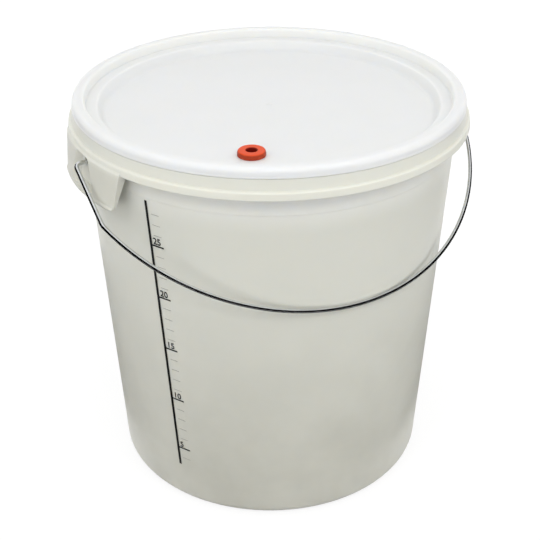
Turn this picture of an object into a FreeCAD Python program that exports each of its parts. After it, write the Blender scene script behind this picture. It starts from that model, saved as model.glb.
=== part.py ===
import FreeCAD, Part
import math
import os

# Fermenting bucket of about 33 litres: a tapered bucket with a stepped collar and two ears, a press-on lid
# with a rubber grommet for an airlock, and a bent wire bail hooked into the ears.
# Millimetres, +Z up. The origin is the centre of the bucket's foot, on the bucket's axis.
# The bucket's front faces -Y.

# Bucket wall and floor
base_radius = 157.8          # outer wall, carried down to the plane it stands on
wall_taper = 0.0555          # radius gained for each millimetre of height
wall = 2.2
wall_step = 0.4              # the wall is this much thicker near the rim
wall_step_drop = 45.3        # from the rim down to that line
wall_step_run = 0.6          # height of the small slope on that line
base_rounding = 9.0          # outer edge of the foot
foot_width = 16.0            # ring the bucket stands on, with the rounding of its outer edge
foot_height = 4.0            # how far the floor panel stands clear of the ground
foot_rounding = 1.5
floor_wall = 2.6
floor_rounding = 2.5
gate_radius = 7.0            # shallow boss under the floor, where the plastic entered the mould
gate_height = 1.0
gate_rounding = 0.5

# Rim, neck band and collar
rim_height = 389.3
rim_wall = 2.0               # also the neck's and the collar's
rim_outer_rounding = 3.2
rim_inner_rounding = 1.6
neck_stand_off = 6.0         # from the line of the wall's outside, at the rim's height
neck_drop = 17.3             # from the rim down to the foot of the neck
neck_flare = 1.2             # the neck's foot is this much wider than its top
neck_rounding = 0.8
ledge_drop = 1.0             # fall of the ledge from the neck's foot to the collar
ledge_rounding = 1.0
collar_overhang = 4.1        # how far the collar's top stands out from the neck's top
collar_flare = 1.0           # the collar's lower edge is this much wider than its top
collar_height = 7.0
collar_top_rounding = 1.6
collar_edge_rounding = 0.8
inside_rounding = 1.2        # corners in the gap behind the neck and collar
gusset_step = 15.0           # degrees between the plates inside the collar
gusset_thickness = 1.6
gusset_recess = 2.5          # how far the plates end above the collar's lower edge

# Ears
ear_turn = 29.6              # degrees from the X axis to the axis through both ears
ear_overlap = 4.5            # how far the ear runs up over the collar's face
ear_height = 39.9
ear_stand_off = 0.74         # at the ear's top, from the collar's lower edge
ear_taper = 0.089            # radius gained for each millimetre downwards
ear_wall = 2.2
ear_half_width_top = 61.0
ear_half_width_bottom = 54.0
ear_corner = 9.0
ear_top_slope = 3.0          # height over which the ear's top edge runs out of the collar
ear_rounding = 2.0
ear_lip = 1.1                # how far the rolled lower edge stands out
ear_lip_height = 4.2
ear_lip_rounding = 1.2
ear_gusset_depth = 6.0       # plates behind the ear's side edges, at their top
ear_reach = 20.0             # how far the blocks that cut out an ear stand beyond its face

# Recess around each bail hole
recess_depth = 5.3           # of its floor, from the ear's face at the hinge axis
recess_top_edge = 5.0        # from the ear's top down to the top of the recess's floor
recess_bottom_edge = 7.4     # from the ear's bottom up to the bottom of the recess's floor
recess_half_width_top = 6.5
recess_half_width_bottom = 18.0
recess_slope_side_top = 16.0
recess_slope_side_bottom = 8.0
recess_slope_top = 4.5
recess_slope_bottom = 2.0
recess_corner = 5.0
recess_bend = 0.5            # share of the depth at which the slope starts to flare
recess_flare = 1.4           # how much further the flared slope runs out
recess_lining_wall = 1.3

# Lid
lid_wall = 1.9
lid_crest_outer_rounding = 5.4
lid_crest_inner_rounding = 3.0
lid_panel_depth = 19.0       # from the lid's crest down to its panel
lid_panel_rounding = 5.0
lid_ring_depth = 9.5         # from the lid's crest down to the flat ring around the panel
lid_ring_width = 10.8
lid_ring_rounding = 3.0
lid_slope_run = 5.2          # from the ring's inner edge to the panel's edge
lid_plug_wall = 2.7          # wall of the plug at its top
lid_plug_lead = 1.5          # how much the plug narrows towards its foot
lid_plug_rounding = 1.2
lid_skirt_height = 9.2
lid_skirt_wall = 1.6
lid_skirt_flare = 0.2
lid_bead = 0.3               # how far the lower edge of the skirt stands out
lid_bead_height = 1.7
lid_bead_slope = 0.6
lid_bead_rounding = 0.4
lid_gate_radius = 3.0        # shallow dimple in the middle of the panel
lid_gate_depth = 0.5

# Fit of the lid on the bucket
seat_clearance = 0.3
plug_clearance = 0.5
skirt_clearance = 0.3
neck_clearance = 0.4         # between the skirt's lower edge and the neck below it

# Grommet
grommet_x = -15.3
grommet_y = -116.0
grommet_radius = 12.65
grommet_step = 0.35          # the upper half of the flange is this much smaller
grommet_height = 5.0         # how far it stands above the lid
grommet_neck_radius = 9.0
grommet_neck_clearance = 0.1
grommet_under_radius = 11.6
grommet_under_height = 3.2
grommet_under_taper = 1.1
grommet_bore_radius = 5.0
grommet_rounding = 1.5
grommet_mouth_rounding = 0.9
grommet_under_rounding = 0.8
grommet_edge_rounding = 0.4

# Bail
wire_radius = 2.0
bail_drop = 7.2              # from the top of the recess's floor down to the hinge axis
bail_leg = 64.4              # straight part of each leg, up to the kink
bail_kink = 20.1             # degrees
bail_kink_radius = 12.0
bail_end_bend = 5.0
bail_hook = 6.6              # how far each hook reaches in behind the recess's floor
bail_ear_clearance = 0.68    # between each leg and the ear's rolled edge
bail_wall_clearance = 0.3
bail_hole_radius = 3.5
bail_hole_clearance = 0.3    # between the hook and the bottom of its hole

X_AXIS = FreeCAD.Vector(1, 0, 0)
Z_AXIS = FreeCAD.Vector(0, 0, 1)
ORIGIN = FreeCAD.Vector(0, 0, 0)
OVERLAP = 0.8                # how far pieces of one moulding run into each other before they are fused
SAME_POINT = 1e-6


# Outlines

def rounded_edges(corners):
    """Edges of a closed outline through (x, z, rounding) corners, each corner rounded by a tangent arc."""
    points = [FreeCAD.Vector(c[0], 0, c[1]) for c in corners]
    starts = []
    ends = []
    arcs = []
    for i, corner in enumerate(points):
        rounding = corners[i][2] if len(corners[i]) > 2 else 0.0
        if rounding == 0.0:
            starts.append(corner)
            ends.append(corner)
            arcs.append(None)
            continue
        back = (points[i - 1] - corner).normalize()
        ahead = (points[(i + 1) % len(points)] - corner).normalize()
        half_angle = back.getAngle(ahead) / 2
        tangent = rounding / math.tan(half_angle)
        bisector = (back + ahead).normalize()
        centre = corner + bisector * (rounding / math.sin(half_angle))
        starts.append(corner + back * tangent)
        ends.append(corner + ahead * tangent)
        arcs.append(Part.Arc(starts[i], centre - bisector * rounding, ends[i]).toShape())
    edges = []
    for i, arc in enumerate(arcs):
        if arc:
            edges.append(arc)
        following = starts[(i + 1) % len(points)]
        if ends[i].distanceToPoint(following) > SAME_POINT:
            edges.append(Part.LineSegment(ends[i], following).toShape())
    return edges


def rounded_face(corners):
    return Part.Face(Part.Wire(rounded_edges(corners)))


def turned(corners, start=0.0, sweep=360.0, centre=ORIGIN):
    """Solid turned about a vertical axis from a half section; start and sweep are in degrees."""
    face = rounded_face(corners)
    face.translate(centre)
    face.rotate(centre, Z_AXIS, start)
    return face.revolve(centre, Z_AXIS, sweep)


# Places that follow from the sizes

neck_radius = base_radius + wall_taper * rim_height + neck_stand_off
neck_foot_radius = neck_radius + neck_flare
neck_bottom = rim_height - neck_drop
rim_outside = neck_radius - rim_wall
collar_top = neck_bottom - ledge_drop
collar_bottom = collar_top - collar_height
collar_top_radius = neck_radius + collar_overhang
collar_bottom_radius = collar_top_radius + collar_flare
wall_step_height = rim_height - wall_step_drop
lid_crest = rim_height + seat_clearance + lid_wall
lid_panel_height = lid_crest - lid_panel_depth
lid_ring_height = lid_crest - lid_ring_depth
lid_skirt_bottom = lid_crest - lid_skirt_height
neck_top = lid_skirt_bottom - neck_clearance
hollow_top = neck_top - rim_wall
ear_top = collar_bottom + ear_overlap
ear_bottom = ear_top - ear_height
ear_lip_top = ear_bottom + ear_lip_height
ear_top_radius = collar_bottom_radius + ear_stand_off
ear_sweep = 3 * math.degrees(math.asin(ear_half_width_top / ear_top_radius))
recess_top = ear_top - recess_top_edge
recess_bottom = ear_bottom + recess_bottom_edge
bail_height = recess_top - bail_drop


def wall_outside(height):
    step = wall_step if height > wall_step_height else 0.0
    return base_radius + wall_taper * height + step


def wall_inside(height):
    return base_radius + wall_taper * height - wall


def collar_face(height):
    return collar_top_radius + collar_flare * (collar_top - height) / collar_height


def ear_face(height):
    return ear_top_radius + ear_taper * (ear_top - height)


recess_floor = ear_face(bail_height) - recess_depth
bail_half_span = ear_face(ear_lip_top) + ear_lip + wire_radius + bail_ear_clearance
bail_end = recess_floor - bail_hook


# Bucket

def bucket_shell():
    """Wall, floor, rim, neck band and collar as one turned section."""
    foot_inner = base_radius - foot_width
    floor_top = foot_height + floor_wall
    floor_edge = foot_inner - floor_wall
    step_radius = wall_outside(wall_step_height)
    inside = rim_wall
    return turned([
        (0, foot_height - gate_height),
        (gate_radius, foot_height - gate_height, gate_rounding),
        (gate_radius + gate_height, foot_height),
        (foot_inner - foot_height, foot_height, floor_rounding),
        (foot_inner, 0, foot_rounding),
        (base_radius, 0, base_rounding),
        (step_radius, wall_step_height),
        (step_radius + wall_step, wall_step_height + wall_step_run),
        (wall_outside(hollow_top), hollow_top, inside_rounding),
        (neck_radius - inside, hollow_top, inside_rounding),
        (neck_foot_radius - inside, neck_bottom - inside, inside_rounding),
        (collar_top_radius - inside, collar_top - inside, inside_rounding),
        (collar_bottom_radius - inside, collar_bottom),
        (collar_bottom_radius, collar_bottom, collar_edge_rounding),
        (collar_top_radius, collar_top, collar_top_rounding),
        (neck_foot_radius, neck_bottom, ledge_rounding),
        (neck_radius, neck_top, neck_rounding),
        (rim_outside, neck_top),
        (rim_outside, rim_height, rim_outer_rounding),
        (wall_inside(rim_height), rim_height, rim_inner_rounding),
        (wall_inside(floor_top), floor_wall, base_rounding - floor_wall),
        (floor_edge, floor_wall, floor_rounding),
        (floor_edge - foot_height, floor_top, floor_rounding),
        (0, floor_top),
    ])


def collar_gussets():
    """Thin radial plates in the gap between the wall and the collar, none of them behind an ear."""
    sweep = math.degrees(gusset_thickness / neck_radius)
    lower = collar_bottom + gusset_recess
    into = OVERLAP - rim_wall
    section = [
        (wall_outside(lower) - OVERLAP, lower),
        (collar_face(lower) + into, lower),
        (collar_top_radius + into, collar_top + into),
        (neck_foot_radius + into, neck_bottom + into),
        (neck_radius + into, hollow_top + OVERLAP),
        (wall_outside(hollow_top) - OVERLAP, hollow_top + OVERLAP),
    ]
    plates = []
    angle = gusset_step / 2
    while angle < 180.0 - ear_sweep / 2:
        if angle > ear_sweep / 2:
            for side in (0.0, 180.0):
                start = ear_turn + side + angle - sweep / 2
                plates.append(turned(section, start, sweep))
        angle += gusset_step
    return plates


# Each ear is modelled on the +X axis and turned into place afterwards.

def radial_prism(outline, inner, outer):
    """Outline in (sideways, height, rounding) pushed along +X between two distances from the axis."""
    face = rounded_face(outline)
    face.rotate(ORIGIN, Z_AXIS, 90.0)
    face.translate(FreeCAD.Vector(inner, 0, 0))
    return face.extrude(FreeCAD.Vector(outer - inner, 0, 0))


def symmetric(half):
    """Closed outline from the corners of its right half, listed from top to bottom."""
    return half + [(-c[0],) + tuple(c[1:]) for c in reversed(half)]


def ear_block():
    """The ear's outline, as a block from the wall to beyond its face."""
    return radial_prism(symmetric([
        (ear_half_width_top, ear_top),
        (ear_half_width_bottom, ear_bottom, ear_corner),
    ]), base_radius, ear_top_radius + ear_reach)


def ear_flap():
    """Curved plate hanging from the collar: its top edge runs out of it, and its lower edge is rolled."""
    shoulder = ear_top - ear_top_slope
    lip = ear_face(ear_lip_top) + ear_lip
    plate = turned([
        (collar_face(ear_top) - rim_wall / 4, ear_top),
        (ear_face(shoulder), shoulder, ear_rounding),
        (ear_face(ear_lip_top), ear_lip_top, ear_rounding),
        (lip, ear_lip_top - 1.5 * ear_lip, ear_lip_rounding),
        (lip, ear_bottom, ear_lip_rounding),
        (ear_face(ear_lip_top) - ear_wall, ear_bottom, ear_lip_rounding / 2),
        (ear_face(ear_top) - ear_wall, ear_top),
    ], -ear_sweep / 2, ear_sweep)
    return plate.common(ear_block())


def ear_gussets():
    """Three-cornered plates behind the flap's side edges, deepest under the collar."""
    low = ear_bottom + ear_lip_height / 2
    into = OVERLAP - ear_wall
    behind = turned([
        (ear_face(ear_top) - ear_wall - ear_gusset_depth, ear_top),
        (ear_face(low) - ear_wall, low),
        (ear_face(low) + into, low),
        (ear_face(ear_top) + into, ear_top),
    ], -ear_sweep / 2, ear_sweep)
    narrowing = (ear_half_width_top - ear_half_width_bottom) / ear_height
    core = radial_prism(symmetric([
        (ear_half_width_top - ear_wall, ear_top),
        (ear_half_width_bottom - ear_wall * (1 + narrowing), ear_bottom - ear_wall),
    ]), base_radius, ear_top_radius + ear_reach)
    return ear_block().common(behind).cut(core)


def recess_block(back, grow):
    """Bell-shaped pocket, smooth from its flat floor out through the ear's face.

    back moves the floor towards the wall, and grow widens the outline all round.
    """
    mouth = ear_face(ear_bottom) + ear_lip
    bend = recess_floor + recess_bend * (mouth - recess_floor)
    wires = []
    for distance, share in ((recess_floor - back, 0.0), (bend - back, recess_bend), (mouth, recess_flare)):
        outline = symmetric([
            (recess_half_width_top + grow + share * recess_slope_side_top,
             recess_top + grow + share * recess_slope_top, recess_corner),
            (recess_half_width_bottom + grow + share * recess_slope_side_bottom,
             recess_bottom - grow - share * recess_slope_bottom, recess_corner),
        ])
        wire = Part.Wire(rounded_edges(outline))
        wire.rotate(ORIGIN, Z_AXIS, 90.0)
        wire.translate(FreeCAD.Vector(distance, 0, 0))
        wires.append(wire)
    return Part.makeLoft(wires, True, False)


def recess_lining():
    """The wall of the pocket, as it stands out behind the flap, back to the bucket's wall."""
    low = ear_bottom + ear_lip_height / 2
    into = OVERLAP - ear_wall
    room = turned([
        (wall_outside(ear_top) + wall_step, ear_top),
        (wall_outside(low) + wall_step, low),
        (ear_face(low) + into, low),
        (ear_face(ear_top) + into, ear_top),
    ], -ear_sweep / 2, ear_sweep)
    return recess_block(ear_wall, recess_lining_wall).common(room)


def bail_hole():
    """Hole for the bail's hook; the hook rests near its lower side."""
    height = bail_height + bail_hole_radius - wire_radius - bail_hole_clearance
    start = FreeCAD.Vector(recess_floor - 3 * ear_wall, 0, height)
    return Part.makeCylinder(bail_hole_radius, 6 * ear_wall, start, X_AXIS)


def on_both_sides(shapes):
    """Copies of what was modelled on the +X axis, turned to the left and to the right ear's place."""
    placed = []
    for side in (0.0, 180.0):
        for shape in shapes:
            copy = shape.copy()
            copy.rotate(ORIGIN, Z_AXIS, ear_turn + side)
            placed.append(copy)
    return placed


def make_bucket():
    added = on_both_sides([ear_flap(), ear_gussets(), recess_lining()])
    removed = on_both_sides([recess_block(0.0, 0.0), bail_hole()])
    body = bucket_shell().fuse(collar_gussets() + added)
    return body.cut(removed).removeSplitter()


# Lid

def make_lid():
    """One turned section: panel, slope, flat ring, plug wall, rim and skirt; then the grommet's hole."""
    under_rim = rim_height + seat_clearance
    ring_under = lid_ring_height - lid_wall
    panel_under = lid_panel_height - lid_wall
    plug_top = wall_inside(under_rim) - plug_clearance
    plug_bottom = wall_inside(ring_under) - plug_clearance - lid_plug_lead
    ring_outer = plug_bottom - lid_wall
    ring_inner = ring_outer - lid_ring_width
    under_step = ring_inner + lid_wall / 2
    skirt_inside = rim_outside + skirt_clearance
    skirt_outside = skirt_inside + lid_skirt_wall
    bead_top = lid_skirt_bottom + lid_bead_height
    bead_radius = skirt_outside + lid_skirt_flare + lid_bead
    body = turned([
        (0, lid_panel_height - lid_gate_depth),
        (lid_gate_radius, lid_panel_height - lid_gate_depth),
        (lid_gate_radius + lid_gate_depth, lid_panel_height),
        (ring_inner - lid_slope_run, lid_panel_height, lid_panel_rounding),
        (ring_inner, lid_ring_height, lid_ring_rounding),
        (ring_outer, lid_ring_height, lid_plug_rounding),
        (plug_top - lid_plug_wall, lid_crest, lid_crest_inner_rounding),
        (skirt_outside, lid_crest, lid_crest_outer_rounding),
        (skirt_outside + lid_skirt_flare, bead_top, lid_bead_rounding),
        (bead_radius, bead_top - lid_bead_slope, lid_bead_rounding),
        (bead_radius, lid_skirt_bottom, lid_bead_rounding),
        (skirt_inside, lid_skirt_bottom),
        (skirt_inside, under_rim, rim_outer_rounding + skirt_clearance),
        (plug_top, under_rim, lid_plug_rounding),
        (plug_bottom, ring_under, lid_plug_rounding),
        (under_step, ring_under, lid_ring_rounding - lid_wall / 2),
        (under_step - lid_slope_run, panel_under, lid_panel_rounding + lid_wall / 2),
        (0, panel_under),
    ])
    hole_start = FreeCAD.Vector(grommet_x, grommet_y, panel_under - lid_wall)
    hole = Part.makeCylinder(grommet_neck_radius + grommet_neck_clearance, 3 * lid_wall, hole_start, Z_AXIS)
    return body.cut(hole)


def make_grommet():
    """Rubber ring with a flange on each side of the lid's panel and a straight bore."""
    top = lid_panel_height + grommet_height
    middle = lid_panel_height + grommet_height / 2
    under = lid_panel_height - lid_wall
    bottom = under - grommet_under_height
    return turned([
        (grommet_bore_radius, top, grommet_mouth_rounding),
        (grommet_radius - grommet_step, top, grommet_rounding),
        (grommet_radius - grommet_step, middle),
        (grommet_radius, middle - grommet_step / 2),
        (grommet_radius, lid_panel_height, grommet_edge_rounding),
        (grommet_neck_radius, lid_panel_height),
        (grommet_neck_radius, under),
        (grommet_under_radius, under, grommet_edge_rounding),
        (grommet_under_radius - grommet_under_taper, bottom, grommet_under_rounding),
        (grommet_bore_radius, bottom),
    ], centre=FreeCAD.Vector(grommet_x, grommet_y, 0))


# Bail

kink = math.radians(bail_kink)
bail_arch_radius = (bail_half_span - bail_kink_radius * (1 - math.cos(kink))) / math.cos(kink)
bail_arch_centre = bail_leg + (bail_kink_radius - bail_arch_radius) * math.sin(kink)
bail_reach = bail_arch_centre + bail_arch_radius


def bail_lean():
    """Angle from straight down at which the middle of the arch comes to lie on the bucket's wall."""
    stand_off = wall_outside(0) + wall_taper * bail_height + wire_radius + bail_wall_clearance
    lean_of_wall = math.atan(wall_taper)
    return math.asin(stand_off * math.cos(lean_of_wall) / bail_reach) - lean_of_wall


def make_bail():
    """Wire swept along hooks, straight legs, kinks and one arch; drawn flat, then leant on the wall."""
    half = []
    hook_start = FreeCAD.Vector(bail_end, 0, 0)
    hook_end = FreeCAD.Vector(bail_half_span - bail_end_bend, 0, 0)
    hook_middle = FreeCAD.Vector(
        bail_half_span - bail_end_bend * (1 - math.sin(math.pi / 4)), 0,
        bail_end_bend * (1 - math.cos(math.pi / 4)))
    leg_start = FreeCAD.Vector(bail_half_span, 0, bail_end_bend)
    leg_end = FreeCAD.Vector(bail_half_span, 0, bail_leg)
    half.append(Part.LineSegment(hook_start, hook_end).toShape())
    half.append(Part.Arc(hook_end, hook_middle, leg_start).toShape())
    half.append(Part.LineSegment(leg_start, leg_end).toShape())

    def on_kink(angle):
        return FreeCAD.Vector(
            bail_half_span - bail_kink_radius * (1 - math.cos(angle)), 0,
            bail_leg + bail_kink_radius * math.sin(angle))

    def on_arch(angle):
        return FreeCAD.Vector(
            bail_arch_radius * math.cos(angle), 0,
            bail_arch_centre + bail_arch_radius * math.sin(angle))

    half.append(Part.Arc(leg_end, on_kink(kink / 2), on_kink(kink)).toShape())
    half.append(Part.Arc(on_arch(kink), on_arch(kink / 2 + math.pi / 4), on_arch(math.pi / 2)).toShape())
    mirrored = [edge.mirror(ORIGIN, X_AXIS) for edge in half]
    path = Part.Wire(Part.__sortEdges__(half + mirrored))
    start = path.OrderedVertexes[0].Point
    ring = Part.Wire(Part.makeCircle(wire_radius, start, X_AXIS))
    bail = path.makePipeShell([ring], True, False)
    bail.rotate(ORIGIN, X_AXIS, 180.0 - math.degrees(bail_lean()))
    bail.rotate(ORIGIN, Z_AXIS, ear_turn)
    bail.translate(FreeCAD.Vector(0, 0, bail_height))
    return bail


parts = {
    "bucket": make_bucket(),
    "lid": make_lid(),
    "grommet": make_grommet(),
    "bail": make_bail(),
}

os.makedirs("parts", exist_ok=True)
for name, shape in parts.items():
    shape.exportStep(f"parts/{name}.step")
    box = shape.BoundBox
    print(name, "valid", shape.isValid(), "solids", len(shape.Solids), "volume", round(shape.Volume),
          "box", [round(v, 2) for v in (box.XMin, box.YMin, box.ZMin, box.XMax, box.YMax, box.ZMax)])
print("bail lean", round(math.degrees(bail_lean()), 3), "arch radius", round(bail_arch_radius, 2),
      "reach", round(bail_reach, 2))
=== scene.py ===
import math
import bpy
from mathutils import Matrix, Vector


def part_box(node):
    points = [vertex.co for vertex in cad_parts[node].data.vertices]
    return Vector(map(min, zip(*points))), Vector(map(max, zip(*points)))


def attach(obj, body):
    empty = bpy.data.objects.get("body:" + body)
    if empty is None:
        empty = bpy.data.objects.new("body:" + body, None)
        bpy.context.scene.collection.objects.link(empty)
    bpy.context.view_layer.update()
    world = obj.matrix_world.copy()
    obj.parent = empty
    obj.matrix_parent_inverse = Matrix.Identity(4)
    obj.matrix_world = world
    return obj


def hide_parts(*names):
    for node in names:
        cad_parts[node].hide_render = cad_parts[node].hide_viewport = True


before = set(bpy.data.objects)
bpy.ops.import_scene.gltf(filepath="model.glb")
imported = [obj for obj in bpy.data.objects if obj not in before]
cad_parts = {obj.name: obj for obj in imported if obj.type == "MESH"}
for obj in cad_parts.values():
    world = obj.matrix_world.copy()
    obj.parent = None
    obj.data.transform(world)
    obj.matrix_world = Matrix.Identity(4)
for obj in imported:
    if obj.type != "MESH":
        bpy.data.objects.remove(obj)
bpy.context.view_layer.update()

# Fermenting bucket with lid, rubber grommet and wire bail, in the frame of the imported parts.
# The pieces' own sizes are written in millimetres, those of the camera, stage and lamps in metres, and turns
# in degrees.
scene = bpy.context.scene
scene.view_settings.view_transform = "Standard"
mm = 0.001
weldGap = 0.002 * mm          # points nearer to each other than this become one


# Small helpers

def fromHex(code):
    # sRGB hex to the linear colour that Blender works in
    parts = [int(code[i:i + 2], 16) / 255 for i in (0, 2, 4)]
    linear = [c / 12.92 if c <= 0.04045 else ((c + 0.055) / 1.055) ** 2.4 for c in parts]
    return (*linear, 1.0)


def addNode(tree, kind, settings=None, links=None):
    # settings: a property, or an input's name or number, and its value
    # links: an input's name or number, and the socket that feeds it
    node = tree.nodes.new(kind)
    for name, value in (settings or {}).items():
        if isinstance(name, int) or name in node.inputs:
            node.inputs[name].default_value = value
        else:
            setattr(node, name, value)
    for name, source in (links or {}).items():
        tree.links.new(source, node.inputs[name])
    return node


def newMaterial(name):
    material = bpy.data.materials.new(name)
    material.use_nodes = True
    material.node_tree.nodes.clear()
    return material, material.node_tree


def finishMaterial(tree, shader):
    addNode(tree, "ShaderNodeOutputMaterial", links={"Surface": shader.outputs[0]})


def putMaterial(piece, material):
    if not piece.material_slots:
        piece.data.materials.append(material)
    for slot in piece.material_slots:
        slot.material = material


def deselectAll():
    if bpy.context.mode != "OBJECT":
        bpy.ops.object.mode_set(mode="OBJECT")
    bpy.ops.object.select_all(action="DESELECT")


def makeActive(piece):
    deselectAll()
    piece.select_set(True)
    bpy.context.view_layer.objects.active = piece


def startEdit(kind, action):
    # kind: what is picked, VERT or FACE; action: SELECT or DESELECT all of it
    bpy.ops.object.mode_set(mode="EDIT")
    bpy.ops.mesh.select_mode(type=kind)
    bpy.ops.mesh.select_all(action=action)


def endEdit():
    bpy.ops.object.mode_set(mode="OBJECT")


def settle(piece):
    # leaves the piece's place in its mesh, with its object at the origin
    makeActive(piece)
    bpy.ops.object.transform_apply(location=True, rotation=True, scale=True)


def applyAll(piece):
    makeActive(piece)
    for modifier in list(piece.modifiers):
        bpy.ops.object.modifier_apply(modifier=modifier.name)


def shadeEvenly(piece, angle, weight):
    # one smooth surface wherever faces meet at less than this angle, led by the larger faces
    makeActive(piece)
    bpy.ops.object.shade_smooth_by_angle(angle=math.radians(angle))
    even = piece.modifiers.new("evenShading", "WEIGHTED_NORMAL")
    even.keep_sharp = True
    even.weight = weight
    applyAll(piece)


# Camera: the photograph's place and angle, worked out from the bucket's round edges

cameraSet = {
    "distance": 0.9997,
    "height": 0.7689,
    "tiltDown": 30.0574,
    "roll": -0.3209,
    "focalPixels": 1114.1,
    "imagePixels": 540,
    "sensorMm": 36.0,
}


def makeCamera():
    tilt = math.radians(cameraSet["tiltDown"])
    roll = math.radians(cameraSet["roll"])
    forward = Vector((0, math.cos(tilt), -math.sin(tilt)))
    right = Vector((1, 0, 0))
    up = right.cross(forward)
    turnedRight = math.cos(roll) * right + math.sin(roll) * up
    turnedUp = -math.sin(roll) * right + math.cos(roll) * up
    data = bpy.data.cameras.new("photoCamera")
    data.sensor_width = cameraSet["sensorMm"]
    data.lens = cameraSet["focalPixels"] / cameraSet["imagePixels"] * cameraSet["sensorMm"]
    camera = bpy.data.objects.new("photoCamera", data)
    scene.collection.objects.link(camera)
    axes = Matrix((turnedRight, turnedUp, -forward)).transposed().to_4x4()
    camera.matrix_world = Matrix.Translation((0, -cameraSet["distance"], cameraSet["height"])) @ axes
    scene.camera = camera


makeCamera()
print("camera placed")


# Bucket, grommet and bail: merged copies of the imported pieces, so that their moulded and bent surfaces
# shade as one. Faces that meet at less than the angle are taken as one surface.

copySet = {
    "bucketAngle": 28,
    "grommetAngle": 35,
    "bailAngle": 40,
    "shadeWeight": 80,
}


def smoothCopy(node, name, body, angle):
    deselectAll()
    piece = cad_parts[node].copy()
    piece.data = piece.data.copy()
    piece.name = name
    scene.collection.objects.link(piece)
    makeActive(piece)
    bpy.ops.mesh.customdata_custom_splitnormals_clear()
    startEdit("VERT", "SELECT")
    bpy.ops.mesh.remove_doubles(threshold=weldGap)
    endEdit()
    shadeEvenly(piece, angle, copySet["shadeWeight"])
    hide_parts(node)
    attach(piece, body)
    return piece


# Lid: one turned section with its sunk panel, the gate's dimple, a slope, a flat ring, the plug wall, the
# rolled rim and the beaded skirt, and then the hole for the grommet. It is turned anew for the look, because
# its rolled crest needs long even faces to catch the light as one clean line.

grommetLow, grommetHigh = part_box("grommet")
grommetMiddle = (grommetLow + grommetHigh) / 2
lidSet = {
    "crest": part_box("lid")[1].z / mm,
    "wall": 1.9,
    "panelDepth": 19.0,
    "panelRounding": 5.0,
    "ringDepth": 9.5,
    "ringWidth": 10.8,
    "ringRounding": 3.0,
    "slopeRun": 5.2,
    "plugTop": 176.72,        # radius of the plug's outside under the rim, and at its foot
    "plugFoot": 174.70,
    "plugWall": 2.7,
    "plugRounding": 1.2,
    "crestInnerRounding": 3.0,
    "crestOuterRounding": 5.4,
    "skirtInside": 183.71,    # radius
    "skirtWall": 1.6,
    "skirtHeight": 9.2,
    "skirtFlare": 0.2,
    "underRimRounding": 3.5,
    "bead": 0.3,              # how far the skirt's lower edge stands out
    "beadHeight": 1.7,
    "beadSlope": 0.6,
    "beadRounding": 0.4,
    "beadTopRounding": 0.25,
    "gateRadius": 3.0,
    "gateDepth": 0.5,
    "holeRadius": 9.1,
    "holeSides": 96,
    "drillDepth": 7.6,
    "steps": 240,
    "arcSteps": 7,
    "shadeAngle": 35,
    "shadeWeight": 50,
}


def lidCorners():
    # radius, height and rounding of each corner, from the middle of the top out and back underneath
    lid = lidSet
    panel = lid["crest"] - lid["panelDepth"]
    ring = lid["crest"] - lid["ringDepth"]
    ringOuter = lid["plugFoot"] - lid["wall"]
    ringInner = ringOuter - lid["ringWidth"]
    outside = lid["skirtInside"] + lid["skirtWall"]
    foot = lid["crest"] - lid["skirtHeight"]
    beadOut = outside + lid["skirtFlare"] + lid["bead"]
    underRim = lid["crest"] - lid["wall"]
    underStep = ringInner + lid["wall"] / 2
    return [
        (0, panel - lid["gateDepth"], 0),
        (lid["gateRadius"], panel - lid["gateDepth"], 0),
        (lid["gateRadius"] + lid["gateDepth"], panel, 0),
        (ringInner - lid["slopeRun"], panel, lid["panelRounding"]),
        (ringInner, ring, lid["ringRounding"]),
        (ringOuter, ring, lid["plugRounding"]),
        (lid["plugTop"] - lid["plugWall"], lid["crest"], lid["crestInnerRounding"]),
        (outside, lid["crest"], lid["crestOuterRounding"]),
        (outside + lid["skirtFlare"], foot + lid["beadHeight"], lid["beadRounding"]),
        (beadOut, foot + lid["beadHeight"] - lid["beadSlope"], lid["beadTopRounding"]),
        (beadOut, foot, lid["beadRounding"]),
        (lid["skirtInside"], foot, 0),
        (lid["skirtInside"], underRim, lid["underRimRounding"]),
        (lid["plugTop"], underRim, lid["plugRounding"]),
        (lid["plugFoot"], ring - lid["wall"], lid["plugRounding"]),
        (underStep, ring - lid["wall"], lid["ringRounding"] - lid["wall"] / 2),
        (underStep - lid["slopeRun"], panel - lid["wall"], lid["panelRounding"] + lid["wall"] / 2),
        (0, panel - lid["wall"], 0),
    ]


def roundedLine(corners):
    # the line through the corners, with an arc of the given radius put in at each
    line = []
    for index, (radius, height, rounding) in enumerate(corners):
        here = Vector((radius, height))
        if not rounding:
            line.append(here)
            continue
        before = (Vector(corners[index - 1][:2]) - here).normalized()
        after = (Vector(corners[index + 1][:2]) - here).normalized()
        half = before.angle(after) / 2
        middle = here + (before + after).normalized() * rounding / math.sin(half)
        start = here + before * rounding / math.tan(half) - middle
        end = here + after * rounding / math.tan(half) - middle
        sweep = start.angle_signed(end)
        for step in range(lidSet["arcSteps"] + 1):
            turn = Matrix.Rotation(-sweep * step / lidSet["arcSteps"], 2)
            line.append(middle + turn @ start)
    return line


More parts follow.
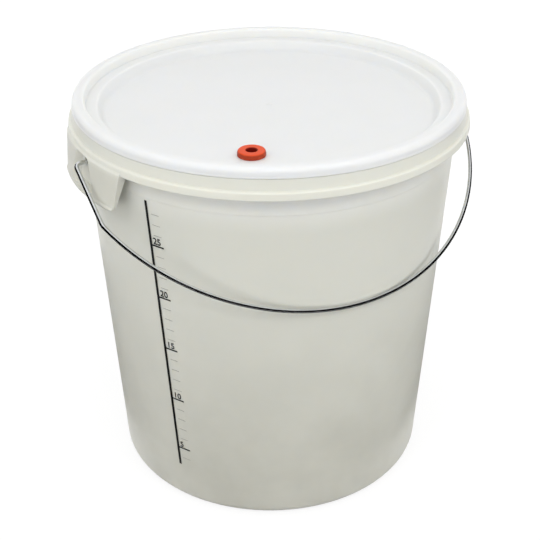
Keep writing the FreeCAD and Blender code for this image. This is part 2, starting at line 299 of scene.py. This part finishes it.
def turnSection(name, line):
    # draws the half section as a chain of edges and spins it round the upright axis
    deselectAll()
    bpy.ops.mesh.primitive_plane_add(size=mm)
    piece = bpy.context.object
    piece.name = name
    startEdit("VERT", "SELECT")
    bpy.ops.mesh.merge(type="CENTER")
    bpy.ops.transform.translate(value=(line[0].x, 0, line[0].y))
    for before, point in zip(line, line[1:]):
        move = point - before
        bpy.ops.mesh.extrude_region_move(TRANSFORM_OT_translate={"value": (move.x, 0, move.y)})
    bpy.ops.mesh.select_all(action="SELECT")
    bpy.ops.mesh.spin(steps=lidSet["steps"], angle=2 * math.pi, center=(0, 0, 0), axis=(0, 0, 1))
    bpy.ops.mesh.select_all(action="SELECT")
    bpy.ops.mesh.remove_doubles(threshold=weldGap)
    bpy.ops.mesh.normals_make_consistent(inside=False)
    endEdit()
    return piece


def boreHole(piece):
    # the grommet's hole through the panel
    height = lidSet["crest"] - lidSet["panelDepth"] - lidSet["wall"] / 2
    deselectAll()
    bpy.ops.mesh.primitive_cylinder_add(
        vertices=lidSet["holeSides"], radius=lidSet["holeRadius"] * mm, depth=lidSet["drillDepth"] * mm,
        location=(grommetMiddle.x, grommetMiddle.y, height * mm))
    drill = bpy.context.object
    hole = piece.modifiers.new("grommetHole", "BOOLEAN")
    hole.operation = "DIFFERENCE"
    hole.solver = "EXACT"
    hole.object = drill
    applyAll(piece)
    bpy.data.objects.remove(drill, do_unlink=True)


def makeLid():
    lid = turnSection("turnedLid", [point * mm for point in roundedLine(lidCorners())])
    boreHole(lid)
    shadeEvenly(lid, lidSet["shadeAngle"], lidSet["shadeWeight"])
    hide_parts("lid")
    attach(lid, "lid")
    return lid


bucketPiece = smoothCopy("bucket", "mouldedBucket", "bucket", copySet["bucketAngle"])
lidPiece = makeLid()
grommetPiece = smoothCopy("grommet", "rubberGrommet", "lid", copySet["grommetAngle"])
bailPiece = smoothCopy("bail", "bentWireBail", "bail", copySet["bailAngle"])
print("bucket, lid, grommet and bail in place")


# Stage: white paper underfoot and all round, with dark cards that only reflections show

stageSet = {
    "floorSize": 12.0,
    "floorColour": "808080",
    "glowNear": 0.81,         # what the paper shows of itself near the object, and further out
    "glowFar": 0.92,
    "glowFrom": 0.3,
    "glowTo": 1.3,
    "worldLight": 0.80,
    "cardColour": "070707",
    "cardRadius": 0.50,
    "cardBottom": 0.05,
    "cardTop": 0.85,
    "cardInner": 0.19,        # hole in the card underfoot, round the bucket
    "cardLift": 0.002,
    "cardTurn": 118,          # from the front, to both sides
    "cardSides": 72,
}


def seenDirectly(tree):
    # 1 for what the camera, a reflection or a look through something meets
    path = addNode(tree, "ShaderNodeLightPath")
    seen = addNode(tree, "ShaderNodeMath", {"operation": "MAXIMUM"},
                   {0: path.outputs["Is Camera Ray"], 1: path.outputs["Is Glossy Ray"]})
    return addNode(tree, "ShaderNodeMath", {"operation": "MAXIMUM"},
                   {0: seen.outputs[0], 1: path.outputs["Is Transmission Ray"]})


def makeFloor():
    deselectAll()
    bpy.ops.mesh.primitive_plane_add(size=stageSet["floorSize"], location=(0, 0, 0))
    floor = bpy.context.object
    floor.name = "studioFloor"
    material, tree = newMaterial("whitePaperSweep")
    place = addNode(tree, "ShaderNodeTexCoord").outputs["Object"]
    reach = addNode(tree, "ShaderNodeVectorMath", {"operation": "LENGTH"}, {0: place})
    level = addNode(tree, "ShaderNodeMapRange", {
        "From Min": stageSet["glowFrom"], "From Max": stageSet["glowTo"],
        "To Min": stageSet["glowNear"], "To Max": stageSet["glowFar"]}, {"Value": reach.outputs["Value"]})
    strength = addNode(tree, "ShaderNodeMath", {"operation": "MULTIPLY"},
                       {0: level.outputs[0], 1: seenDirectly(tree).outputs[0]})
    diffuse = addNode(tree, "ShaderNodeBsdfDiffuse", {"Color": fromHex(stageSet["floorColour"])})
    glow = addNode(tree, "ShaderNodeEmission", {"Color": fromHex("FFFFFF")},
                   {"Strength": strength.outputs[0]})
    both = addNode(tree, "ShaderNodeAddShader", links={0: diffuse.outputs[0], 1: glow.outputs[0]})
    finishMaterial(tree, both)
    putMaterial(floor, material)


def makeWorld():
    world = bpy.data.worlds.new("whiteStudio")
    scene.world = world
    world.use_nodes = True
    tree = world.node_tree
    tree.nodes.clear()
    strength = addNode(tree, "ShaderNodeMapRange", {"To Min": stageSet["worldLight"], "To Max": 1.0},
                       {"Value": seenDirectly(tree).outputs[0]})
    background = addNode(tree, "ShaderNodeBackground", {"Color": fromHex("FFFFFF")},
                         {"Strength": strength.outputs[0]})
    addNode(tree, "ShaderNodeOutputWorld", links={"Surface": background.outputs[0]})


def makeStandingCard():
    # a tall round card in front and at both sides, open behind
    middle = (stageSet["cardTop"] + stageSet["cardBottom"]) / 2
    deselectAll()
    bpy.ops.mesh.primitive_cylinder_add(
        vertices=stageSet["cardSides"], radius=stageSet["cardRadius"],
        depth=stageSet["cardTop"] - stageSet["cardBottom"], end_fill_type="NOTHING", location=(0, 0, middle))
    card = bpy.context.object
    card.name = "darkCards"
    settle(card)
    startEdit("FACE", "DESELECT")
    endEdit()
    behind = -stageSet["cardRadius"] * math.cos(math.radians(stageSet["cardTurn"]))
    for face in card.data.polygons:
        face.select = face.center.y > behind
    bpy.ops.object.mode_set(mode="EDIT")
    bpy.ops.mesh.delete(type="FACE")
    endEdit()
    return card


def makeLowCard():
    # a flat ring round the bucket's foot
    deselectAll()
    bpy.ops.mesh.primitive_circle_add(
        vertices=stageSet["cardSides"], radius=stageSet["cardRadius"], fill_type="NGON",
        location=(0, 0, stageSet["cardLift"]))
    card = bpy.context.object
    card.name = "darkCardUnderfoot"
    settle(card)
    startEdit("FACE", "SELECT")
    bpy.ops.mesh.inset(thickness=stageSet["cardRadius"] - stageSet["cardInner"], depth=0)
    bpy.ops.mesh.delete(type="FACE")
    endEdit()
    return card


def makeCards():
    # as a photographer hangs them, to draw the edges of white plastic and bright wire: they show in
    # reflections only, and block no light
    cards = [makeStandingCard(), makeLowCard()]
    material, tree = newMaterial("blackCard")
    shader = addNode(tree, "ShaderNodeBsdfDiffuse", {"Color": fromHex(stageSet["cardColour"])})
    finishMaterial(tree, shader)
    for card in cards:
        putMaterial(card, material)
        card.visible_camera = False
        card.visible_diffuse = False
        card.visible_shadow = False
        card.visible_transmission = False


# Lamps: three softboxes in front, where the lid's rim shows each one in the photograph, and a ring of low
# fills that lift the shade under the collar and stay out of the reflections. Turns go from the front towards
# the right.

lampSet = {
    "softboxTurns": [40, 3, -32],
    "softboxPower": 2.0,
    "softboxSide": 0.36,
    "softboxReach": 1.1,
    "softboxHeight": 1.35,
    "fillTurns": [30, 75, 120, -120, -75, -30],
    "fillPower": 1.2,
    "fillSide": 0.5,
    "fillReach": 1.05,
    "fillHeight": 0.26,
    "target": (0, 0, 0.25),
}


def makeLamp(kind, turn):
    data = bpy.data.lights.new(kind + "Lamp", "AREA")
    data.energy = lampSet[kind + "Power"]
    data.shape = "SQUARE"
    data.size = lampSet[kind + "Side"]
    lamp = bpy.data.objects.new(kind + "Lamp", data)
    scene.collection.objects.link(lamp)
    reach = lampSet[kind + "Reach"]
    angle = math.radians(turn)
    place = Vector((math.sin(angle) * reach, -math.cos(angle) * reach, lampSet[kind + "Height"]))
    aim = (Vector(lampSet["target"]) - place).to_track_quat("-Z", "Y")
    lamp.matrix_world = Matrix.Translation(place) @ aim.to_matrix().to_4x4()
    return lamp


def makeLamps():
    for turn in lampSet["softboxTurns"]:
        makeLamp("softbox", turn)
    for turn in lampSet["fillTurns"]:
        makeLamp("fill", turn).visible_glossy = False


makeFloor()
makeWorld()
makeCards()
makeLamps()
print("stage and lamps made")


# Milky polypropylene, injection moulded: light soaks a few millimetres in and comes out softened, so shadows
# and edges on it are soft and warm. Painted shade makes the wall greyer towards the foot and the ears below
# the collar darker, and painted light makes the wall palest just under the collar, standing in for light that
# soaks through from above. The mould's fine grain and years of wiping break up the gloss.

plasticSet = {
    "bucketColours": {
        # painted shade: the wall greyer towards the foot
        "foot": "C9C8BD",
        "wall": "E3E3D9",
        "paintedCollarLight": "FAF9F0",   # painted light on the wall just under the collar, against the collar's shade
        # painted shade: the ears below the collar darker than the rim
        "ear": "D5D5CC",
        "rim": "E4E4DB",      # also the collar's and the neck's
    },
    "bucketTint": "E6E5DA",   # of the clouds where the melt flowed
    "lidColour": "F8F8F3",
    "lidTint": "F4F4EE",
    "wallFull": 260.0,        # height at which the painted shade towards the foot has run out
    # heights over which the painted light under the collar comes in
    "paintedCollarLightFrom": 322.0,
    "paintedCollarLightFull": 356.0,
    "rimFrom": 361.0,         # heights over which the ears' painted shade runs out into the collar's colour
    "rimFull": 366.0,
    "wallReach": 181.5,       # from the axis: the wall lies inside this, and the rest outside the next
    "earReach": 183.5,
    "soakMm": (3.6, 3.312, 2.88),   # how far red, green and blue light go in
    "soakWeight": 0.9,
    "roughness": 0.38,
    "polished": 0.33,         # roughness where the mould was polished
    "polishRun": 4.0,
    "lidPolishedFrom": 168.0,
    "bucketPolishedFrom": 1000.0,   # past its widest, so nowhere
    "wornFrom": -0.03,        # what wear adds to the roughness, least and most
    "wornTo": 0.05,
    "wornMm": 24.0,
    "flowShare": 0.55,        # how much of the tint the clouds take on
    "flowMm": 70.0,
    "grainMm": 1.6,           # coarser than the real grain, so that it shows
    "grainDepthMm": 0.02,
}


def polypropylene(name, colours, tint, polishedFrom):
    # polishedFrom: distance from the axis past which the mould was polished
    material, tree = newMaterial(name)
    place = addNode(tree, "ShaderNodeTexCoord").outputs["Object"]
    apart = addNode(tree, "ShaderNodeSeparateXYZ", links={"Vector": place})
    height = apart.outputs["Z"]
    outwards = addNode(tree, "ShaderNodeVectorMath", {"operation": "MULTIPLY", 1: (1, 1, 0)}, {0: place})
    reach = addNode(tree, "ShaderNodeVectorMath", {"operation": "LENGTH"}, {0: outwards.outputs[0]})
    # painted shade: the wall darker towards the foot
    footShadeShare = addNode(tree, "ShaderNodeMapRange", {"From Max": plasticSet["wallFull"] * mm},
                        {"Value": height})
    # painted light just under the collar
    paintedCollarLightShare = addNode(tree, "ShaderNodeMapRange", {
        "interpolation_type": "SMOOTHSTEP",
        "From Min": plasticSet["paintedCollarLightFrom"] * mm, "From Max": plasticSet["paintedCollarLightFull"] * mm},
        {"Value": height})
    onRim = addNode(tree, "ShaderNodeMapRange", {
        "From Min": plasticSet["rimFrom"] * mm, "From Max": plasticSet["rimFull"] * mm}, {"Value": height})
    offWall = addNode(tree, "ShaderNodeMapRange", {
        "From Min": plasticSet["wallReach"] * mm, "From Max": plasticSet["earReach"] * mm},
        {"Value": reach.outputs["Value"]})
    wall = addNode(tree, "ShaderNodeMix", {
        "data_type": "RGBA", 6: fromHex(colours["foot"]), 7: fromHex(colours["wall"])},
        {0: footShadeShare.outputs[0]})
    paintedCollarLight = addNode(tree, "ShaderNodeMix", {"data_type": "RGBA", 7: fromHex(colours["paintedCollarLight"])},
                     {0: paintedCollarLightShare.outputs[0], 6: wall.outputs[2]})
    # painted shade on the ears below the collar
    collar = addNode(tree, "ShaderNodeMix", {
        "data_type": "RGBA", 6: fromHex(colours["ear"]), 7: fromHex(colours["rim"])}, {0: onRim.outputs[0]})
    tone = addNode(tree, "ShaderNodeMix", {"data_type": "RGBA"},
                   {0: offWall.outputs[0], 6: paintedCollarLight.outputs[2], 7: collar.outputs[2]})
    flow = addNode(tree, "ShaderNodeTexNoise", {
        "Scale": 1 / (plasticSet["flowMm"] * mm), "Detail": 3.0, "Roughness": 0.55}, {"Vector": place})
    flowShare = addNode(tree, "ShaderNodeMapRange", {
        "From Min": 0.35, "From Max": 0.75, "To Max": plasticSet["flowShare"]},
        {"Value": flow.outputs["Fac"]})
    cloudy = addNode(tree, "ShaderNodeMix", {"data_type": "RGBA", 7: fromHex(tint)},
                     {0: flowShare.outputs[0], 6: tone.outputs[2]})

    wiped = addNode(tree, "ShaderNodeTexNoise", {
        "Scale": 1 / (plasticSet["wornMm"] * mm), "Detail": 3.0, "Roughness": 0.6}, {"Vector": place})
    polish = addNode(tree, "ShaderNodeMapRange", {
        "From Min": polishedFrom * mm, "From Max": (polishedFrom + plasticSet["polishRun"]) * mm,
        "To Min": plasticSet["roughness"], "To Max": plasticSet["polished"]},
        {"Value": reach.outputs["Value"]})
    worn = addNode(tree, "ShaderNodeMapRange", {
        "From Min": 0.3, "From Max": 0.7,
        "To Min": plasticSet["wornFrom"], "To Max": plasticSet["wornTo"]}, {"Value": wiped.outputs["Fac"]})
    rough = addNode(tree, "ShaderNodeMath", {"operation": "ADD"},
                    {0: polish.outputs[0], 1: worn.outputs[0]})

    grain = addNode(tree, "ShaderNodeTexNoise", {
        "Scale": 1 / (plasticSet["grainMm"] * mm), "Detail": 2.0, "Roughness": 0.6}, {"Vector": place})
    bump = addNode(tree, "ShaderNodeBump", {"Strength": 0.35, "Distance": plasticSet["grainDepthMm"] * mm},
                   {"Height": grain.outputs["Fac"]})
    shader = addNode(tree, "ShaderNodeBsdfPrincipled", {
        "IOR": 1.49,
        "Subsurface Weight": plasticSet["soakWeight"],
        "Subsurface Radius": [depth * mm for depth in plasticSet["soakMm"]],
        "Subsurface Scale": 1.0,
    }, {"Base Color": cloudy.outputs[2], "Roughness": rough.outputs[0], "Normal": bump.outputs[0]})
    finishMaterial(tree, shader)
    return material


putMaterial(bucketPiece, polypropylene(
    "milkyPolypropyleneWall", plasticSet["bucketColours"], plasticSet["bucketTint"],
    plasticSet["bucketPolishedFrom"]))
putMaterial(lidPiece, polypropylene(
    "milkyPolypropyleneLid", dict.fromkeys(plasticSet["bucketColours"], plasticSet["lidColour"]),
    plasticSet["lidTint"], plasticSet["lidPolishedFrom"]))
print("polypropylene made")


# Orange-red rubber, compression moulded: matt and evenly coloured, a little chalky where it is rubbed, and
# painted darker on its side and in its bore as painted shade, where less light falls

rubberSet = {
    "topColour": "E8501F",
    "shadedSideColour": "A8350C",
    "shadedBoreColour": "820F04",
    "chalkColour": "EC6A3A",
    "roughness": 0.5,
    "grainMm": 0.4,
    "grainDepthMm": 0.05,
    "chalkShare": 0.3,
    "chalkMm": 4.0,
    "edgeMm": 0.5,            # softening of the moulded edges
    "topDrop": 1.1,           # how far below its top the top's colour takes over from the side's painted shade, and over what height
    "topRun": 0.9,
    "boreFrom": 5.1,          # distances from its axis over which the bore's painted shade ends
    "boreTo": 5.9,
}


def mouldedRubber():
    material, tree = newMaterial("mouldedOrangeRubber")
    place = addNode(tree, "ShaderNodeTexCoord").outputs["Object"]
    grain = addNode(tree, "ShaderNodeTexNoise", {
        "Scale": 1 / (rubberSet["grainMm"] * mm), "Detail": 3.0}, {"Vector": place})
    chalk = addNode(tree, "ShaderNodeTexNoise", {
        "Scale": 1 / (rubberSet["chalkMm"] * mm), "Detail": 4.0}, {"Vector": place})
    chalkShare = addNode(tree, "ShaderNodeMapRange", {
        "From Min": 0.5, "From Max": 0.85, "To Max": rubberSet["chalkShare"]},
        {"Value": chalk.outputs["Fac"]})
    apart = addNode(tree, "ShaderNodeSeparateXYZ", links={"Vector": place})
    # painted shade: the side and the bore darker than the top
    topFrom = grommetHigh.z - rubberSet["topDrop"] * mm
    onTop = addNode(tree, "ShaderNodeMapRange", {
        "From Min": topFrom, "From Max": topFrom + rubberSet["topRun"] * mm}, {"Value": apart.outputs["Z"]})
    body = addNode(tree, "ShaderNodeMix", {
        "data_type": "RGBA", 6: fromHex(rubberSet["shadedSideColour"]), 7: fromHex(rubberSet["topColour"])},
        {0: onTop.outputs[0]})
    fromAxis = addNode(tree, "ShaderNodeVectorMath", {"operation": "SUBTRACT", 1: grommetMiddle}, {0: place})
    flat = addNode(tree, "ShaderNodeVectorMath", {"operation": "MULTIPLY", 1: (1, 1, 0)},
                   {0: fromAxis.outputs[0]})
    reach = addNode(tree, "ShaderNodeVectorMath", {"operation": "LENGTH"}, {0: flat.outputs[0]})
    outside = addNode(tree, "ShaderNodeMapRange", {
        "From Min": rubberSet["boreFrom"] * mm, "From Max": rubberSet["boreTo"] * mm},
        {"Value": reach.outputs["Value"]})
    shadedBore = addNode(tree, "ShaderNodeMix", {"data_type": "RGBA", 6: fromHex(rubberSet["shadedBoreColour"])},
                    {0: outside.outputs[0], 7: body.outputs[2]})
    tone = addNode(tree, "ShaderNodeMix", {"data_type": "RGBA", 7: fromHex(rubberSet["chalkColour"])},
                   {0: chalkShare.outputs[0], 6: shadedBore.outputs[2]})
    soft = addNode(tree, "ShaderNodeBevel", {"samples": 6, "Radius": rubberSet["edgeMm"] * mm})
    bump = addNode(tree, "ShaderNodeBump", {"Strength": 0.3, "Distance": rubberSet["grainDepthMm"] * mm},
                   {"Height": grain.outputs["Fac"], "Normal": soft.outputs[0]})
    shader = addNode(tree, "ShaderNodeBsdfPrincipled", {
        "Roughness": rubberSet["roughness"], "IOR": 1.38},
        {"Base Color": tone.outputs[2], "Normal": bump.outputs[0]})
    finishMaterial(tree, shader)
    return material


putMaterial(grommetPiece, mouldedRubber())
print("grommet finished")


# Zinc-plated steel wire, drawn and then bent: bright enough to mirror the room in long streaks, with slightly
# duller patches where the plating has aged

wireSet = {
    "colour": "E0E2E3",
    "dullColour": "C4C6C7",
    "brightRoughness": 0.05,
    "dullRoughness": 0.19,
    "dullShare": 0.7,
    "patchMm": 14.0,
}


def zincPlatedWire():
    material, tree = newMaterial("brightZincPlatedSteelWire")
    place = addNode(tree, "ShaderNodeTexCoord").outputs["Object"]
    patch = addNode(tree, "ShaderNodeTexNoise", {
        "Scale": 1 / (wireSet["patchMm"] * mm), "Detail": 3.0}, {"Vector": place})
    share = addNode(tree, "ShaderNodeMapRange", {
        "From Min": 0.45, "From Max": 0.8, "To Max": wireSet["dullShare"]}, {"Value": patch.outputs["Fac"]})
    tone = addNode(tree, "ShaderNodeMix", {
        "data_type": "RGBA", 6: fromHex(wireSet["colour"]), 7: fromHex(wireSet["dullColour"])},
        {0: share.outputs[0]})
    rough = addNode(tree, "ShaderNodeMapRange", {
        "From Min": 0.3, "From Max": 0.8, "To Min": wireSet["brightRoughness"],
        "To Max": wireSet["dullRoughness"]}, {"Value": patch.outputs["Fac"]})
    shader = addNode(tree, "ShaderNodeBsdfPrincipled", {"Metallic": 1.0}, {
        "Base Color": tone.outputs[2], "Roughness": rough.outputs[0]})
    finishMaterial(tree, shader)
    return material


putMaterial(bailPiece, zincPlatedWire())
print("bail finished")


# Litre scale, screen printed on the front left of the wall. Its marks stand where the brew would reach,
# worked out from the volume of the tapered inside.

scaleSet = {
    "baseRadius": 157.8,      # the wall's outside at the foot, and what it gains per millimetre of height
    "taper": 0.0555,
    "wall": 2.2,
    "floorHeight": 5.5,       # inside, with the stepped floor taken as flat
    "printDrop": 2.8,         # how far the print sits below the true level
    "turnTop": -37.17,        # from the front, towards the left
    "turnBottom": -34.30,
    "barTop": 341.9,
    "barBottom": 44.2,
    "barWidth": 2.7,
    "barCuts": 40,            # so that the flat strip can follow the round wall
    "firstLitre": 4,
    "lastLitre": 28,
    "majorEvery": 5,
    "majorLength": 12.8,
    "majorWidth": 1.5,
    "majorOverlap": 0.3,      # into the bar
    "majorCuts": 5,
    "minorGap": 3.2,
    "minorLength": 8.6,
    "minorWidth": 0.42,
    "minorCuts": 4,
    "digitHeight": 6.3,
    "digitShare": 0.69,       # of the typeface's size
    "digitNarrow": 0.97,
    "digitBold": 0.11,
    "digitCurve": 4,          # steps in each bend of a digit
    "digitGap": 1.5,          # from the bar, and above the mark
    "digitRise": 1.0,
    "black": "0C0B09",
    "blackWorn": "2E2D29",
    "blackWear": 0.5,         # how far its specks go towards the worn colour
    "faint": "A2A199",
    "faintWorn": "BEBDB5",
    "faintWear": 0.6,
    "inkLift": 0.10,
    "inkThickness": 0.05,
    "inkRoughness": 0.42,
    "speckleMm": 0.8,
}


def heightOf(litres):
    # a cut cone of this volume stands on the floor, and its top is the level
    volume = litres * 1e6     # cubic millimetres
    taper = scaleSet["taper"]
    inner = scaleSet["baseRadius"] - scaleSet["wall"]
    floorRadius = inner + taper * scaleSet["floorHeight"]
    levelRadius = (floorRadius ** 3 + 3 * taper * volume / math.pi) ** (1 / 3)
    return (levelRadius - inner) / taper - scaleSet["printDrop"]


def turnAt(height):
    share = (height - scaleSet["barBottom"]) / (scaleSet["barTop"] - scaleSet["barBottom"])
    return math.radians(scaleSet["turnBottom"] + share * (scaleSet["turnTop"] - scaleSet["turnBottom"]))


def layOnWall(piece):
    # the print is drawn flat, x along the wall from the bar and y up, and then laid round the bucket
    for vertex in piece.data.vertices:
        height = vertex.co.y / mm
        wallRadius = scaleSet["baseRadius"] + scaleSet["taper"] * height
        radius = wallRadius + scaleSet["inkLift"] + vertex.co.z / mm
        angle = turnAt(height) + vertex.co.x / mm / radius
        vertex.co = Vector((math.sin(angle), -math.cos(angle), 0)) * radius * mm
        vertex.co.z = height * mm


def flatStrip(left, right, low, high, cuts):
    deselectAll()
    bpy.ops.mesh.primitive_plane_add(size=1)
    strip = bpy.context.object
    strip.scale = ((right - left) * mm, (high - low) * mm, 1)
    strip.location = ((left + right) / 2 * mm, (low + high) / 2 * mm, 0)
    settle(strip)
    startEdit("FACE", "SELECT")
    bpy.ops.mesh.subdivide(number_cuts=cuts)
    endEdit()
    return strip


def flatNumber(text, left, low):
    deselectAll()
    bpy.ops.object.text_add(location=(left * mm, low * mm, 0))
    number = bpy.context.object
    number.data.body = text
    number.data.size = scaleSet["digitHeight"] * mm / scaleSet["digitShare"]
    number.data.offset = scaleSet["digitBold"] * mm
    number.data.resolution_u = scaleSet["digitCurve"]
    number.scale.x = scaleSet["digitNarrow"]
    bpy.ops.object.convert(target="MESH")
    settle(number)
    return number


def printedPiece(name, pieces, material):
    # one film of ink from flat pieces
    makeActive(pieces[0])
    for piece in pieces[1:]:
        piece.select_set(True)
    if len(pieces) > 1:
        bpy.ops.object.join()
    film = bpy.context.object
    film.name = name
    layOnWall(film)
    thick = film.modifiers.new("ink", "SOLIDIFY")
    thick.thickness = scaleSet["inkThickness"] * mm
    thick.offset = 1.0
    applyAll(film)
    putMaterial(film, material)
    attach(film, "bucket")


def screenInk(name, colour, worn, wear):
    # screen ink: a flat, slightly glossy film that lets a little of the wall through in small specks
    material, tree = newMaterial(name)
    place = addNode(tree, "ShaderNodeTexCoord").outputs["Object"]
    speckle = addNode(tree, "ShaderNodeTexNoise", {
        "Scale": 1 / (scaleSet["speckleMm"] * mm), "Detail": 3.0}, {"Vector": place})
    thin = addNode(tree, "ShaderNodeMapRange", {"From Min": 0.55, "From Max": 0.9, "To Max": wear},
                   {"Value": speckle.outputs["Fac"]})
    tone = addNode(tree, "ShaderNodeMix", {"data_type": "RGBA", 6: fromHex(colour), 7: fromHex(worn)},
                   {0: thin.outputs[0]})
    shader = addNode(tree, "ShaderNodeBsdfPrincipled", {"Roughness": scaleSet["inkRoughness"]},
                     {"Base Color": tone.outputs[2]})
    finishMaterial(tree, shader)
    return material


def makeScale():
    half = scaleSet["barWidth"] / 2
    blackInk = screenInk("blackScreenInk", scaleSet["black"], scaleSet["blackWorn"], scaleSet["blackWear"])
    faintInk = screenInk("thinGreyScreenInk", scaleSet["faint"], scaleSet["faintWorn"], scaleSet["faintWear"])
    bar = flatStrip(-half, half, scaleSet["barBottom"], scaleSet["barTop"], scaleSet["barCuts"])
    printedPiece("scaleBar", [bar], blackInk)
    majors = []
    minors = []
    numbers = []
    for litre in range(scaleSet["firstLitre"], scaleSet["lastLitre"] + 1):
        height = heightOf(litre)
        if litre % scaleSet["majorEvery"]:
            left = half + scaleSet["minorGap"]
            right = left + scaleSet["minorLength"]
            width = scaleSet["minorWidth"] / 2
            minors.append(flatStrip(left, right, height - width, height + width, scaleSet["minorCuts"]))
        else:
            left = half - scaleSet["majorOverlap"]
            right = half + scaleSet["majorLength"]
            width = scaleSet["majorWidth"] / 2
            majors.append(flatStrip(left, right, height - width, height + width, scaleSet["majorCuts"]))
            low = height + width + scaleSet["digitRise"]
            numbers.append(flatNumber(str(litre), half + scaleSet["digitGap"], low))
    printedPiece("scaleMajorTicks", majors, blackInk)
    printedPiece("scaleMinorTicks", minors, faintInk)
    printedPiece("scaleNumbers", numbers, blackInk)


makeScale()
print("litre scale printed")
